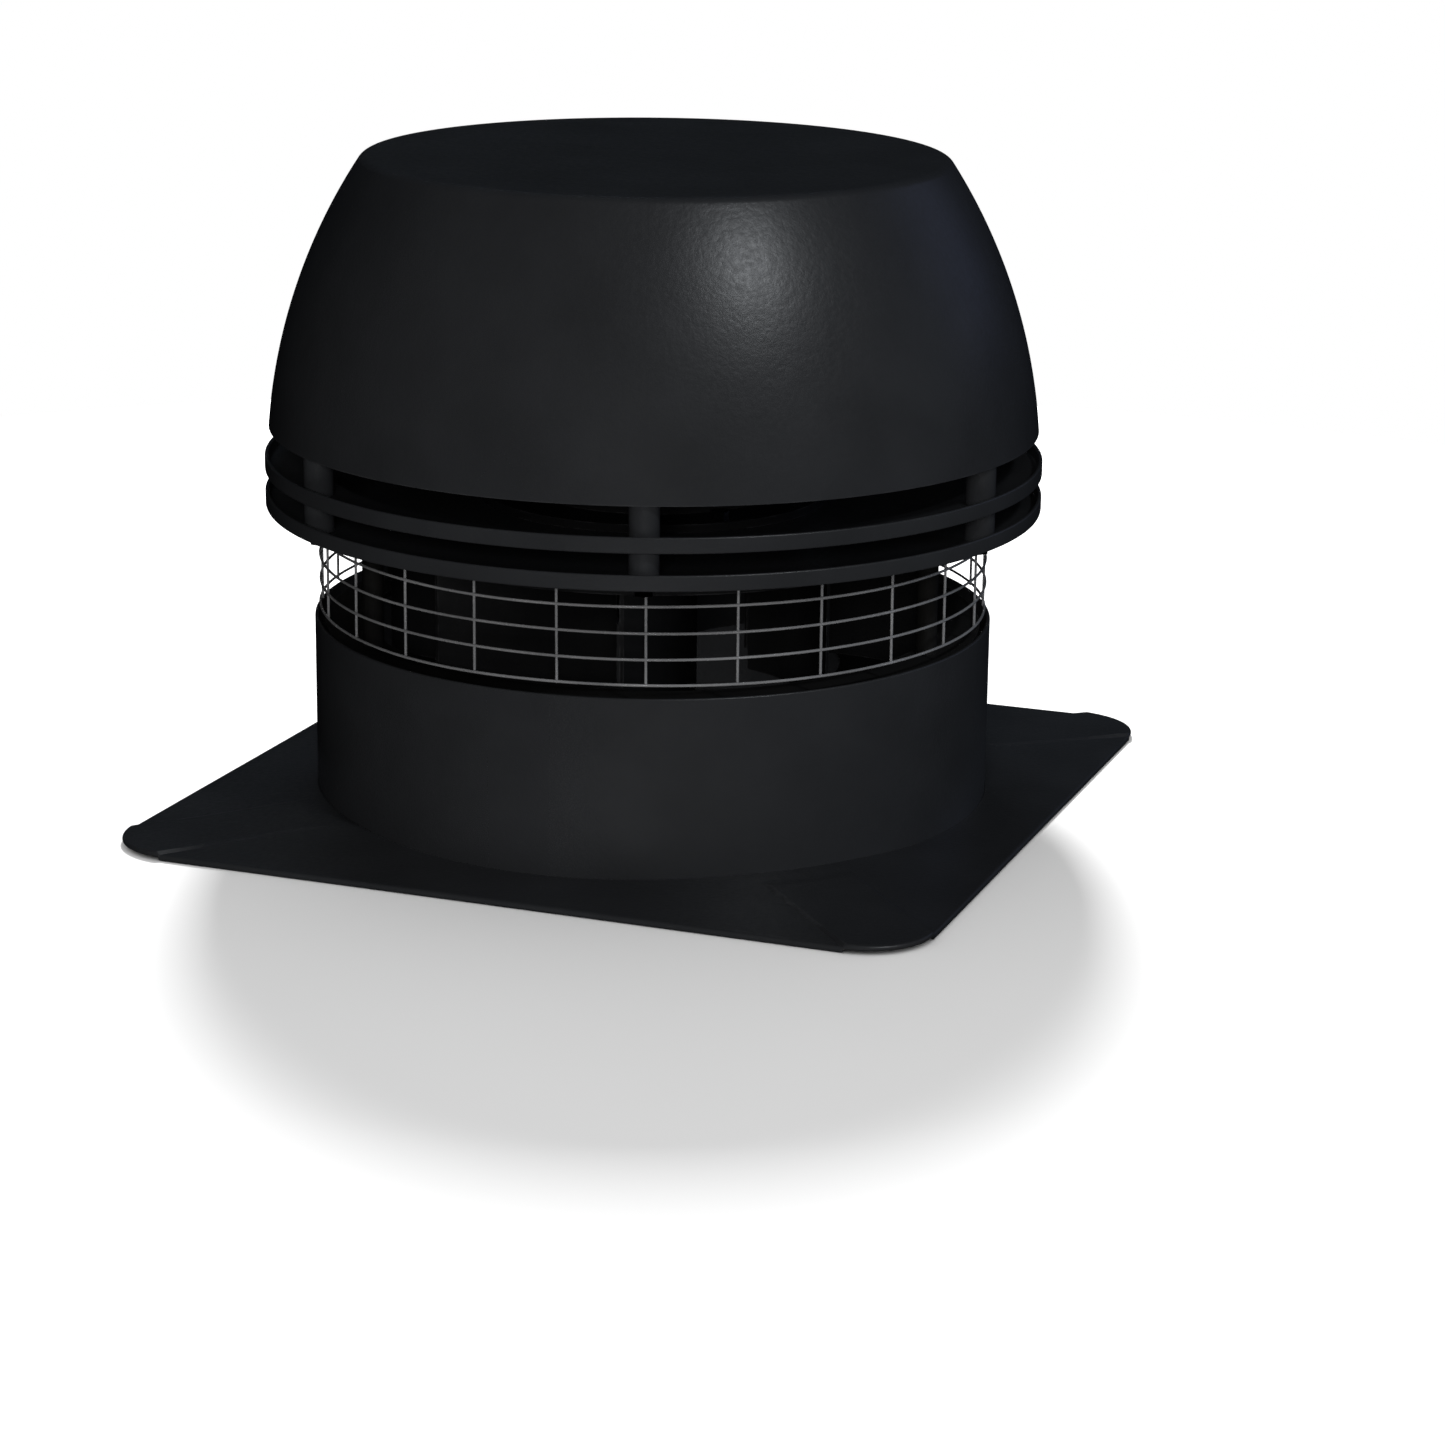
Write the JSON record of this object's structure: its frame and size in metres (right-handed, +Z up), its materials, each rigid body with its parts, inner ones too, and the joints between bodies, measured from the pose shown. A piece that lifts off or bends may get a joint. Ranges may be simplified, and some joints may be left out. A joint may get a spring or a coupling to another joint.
{
  "type": "chimney extractor fan",
  "caption": "Chimney-top extractor fan with a square base plate, round inlet drum, wire bird guard, slotted motor tray and domed cover on a tilting head.",
  "frame": {"origin": "centre of the square base plate at its lowest edge, on the axis of the fan", "axes": "+Z up along the fan's shaft, X and Y along the edges of the plate, hinge on the +Y side"},
  "size_m": [0.4, 0.4, 0.3136],
  "materials": {
    "black_powder": "satin powder coat with fine orange peel",
    "black_enamel": "heat-resistant black enamel",
    "galvanised": "bright zinc wire",
    "stainless": "brushed stainless sheet",
    "cast_aluminium": "bead-blasted casting",
    "zinc_steel": "zinc-plated fasteners",
    "lamination": "laminated steel",
    "copper": "enamelled copper wire",
    "black_plastic": "moulded",
    "grey_plastic": "moulded",
    "graphite_seal": "high-temperature seal",
    "mineral_mat": "pressed mineral fibre"
  },
  "bodies": {
    "base": {"base_plate": "black_powder", "inlet_drum": "black_powder", "sealing_mat": "mineral_mat", "rest_ledges": "black_powder", "hinge_bracket": "black_powder", "hinge_pin": "stainless", "latch_brackets": "black_powder"},
    "head": {"swing_ring": "black_powder", "support_legs": "black_powder", "leg_screws": "zinc_steel", "hinge_leaf": "black_powder", "latch_straps": "black_powder", "bird_guard": "galvanised", "motor_tray": "black_powder", "louvre_ring": "black_powder", "top_cover": "black_powder", "lower_posts": "black_powder", "upper_posts": "black_powder", "tie_bolts": "zinc_steel", "tie_nuts": "zinc_steel", "lower_end_shield": "black_enamel", "motor_housing": "black_enamel", "upper_end_shield": "black_enamel", "lower_bearing": "stainless", "upper_bearing": "stainless", "stator_core": "lamination", "stator_windings": "copper", "shaft_seal": "graphite_seal", "motor_screws": "zinc_steel", "motor_nuts": "zinc_steel", "terminal_box": "grey_plastic", "terminal_lid": "grey_plastic", "run_capacitor": "cast_aluminium", "capacitor_clip": "zinc_steel", "cable_gland": "black_plastic", "gland_nut": "black_plastic"},
    "rotor": {"motor_shaft": "stainless", "rotor_core": "lamination", "cooling_disc": "stainless", "impeller_hub": "black_enamel", "impeller_disc": "black_enamel", "impeller_blades": "black_enamel", "impeller_shroud": "black_enamel", "impeller_washer": "zinc_steel", "impeller_nut": "zinc_steel"},
    "left_thumb_screw": {"latch_screw_left": "zinc_steel"},
    "right_thumb_screw": {"latch_screw_right": "zinc_steel"}
  },
  "joints": [
    {"name": "head_tilt", "type": "hinge", "parent": "base", "child": "head", "pos_m": [-0.0602, 0.16539, 0.094], "axis": [-0.9397, -0.342, 0], "range_deg": [0, 90]},
    {"name": "rotor_spin", "type": "hinge", "parent": "head", "child": "rotor", "pos_m": [0, 0, 0.131], "axis": [0, 0, 1], "continuous": true},
    {"name": "left_screw_lift", "type": "slide", "parent": "head", "child": "left_thumb_screw", "axis": [0, 0, 1], "range_m": [0, 0.012]},
    {"name": "right_screw_lift", "type": "slide", "parent": "head", "child": "right_thumb_screw", "axis": [0, 0, 1], "range_m": [0, 0.012]}
  ]
}
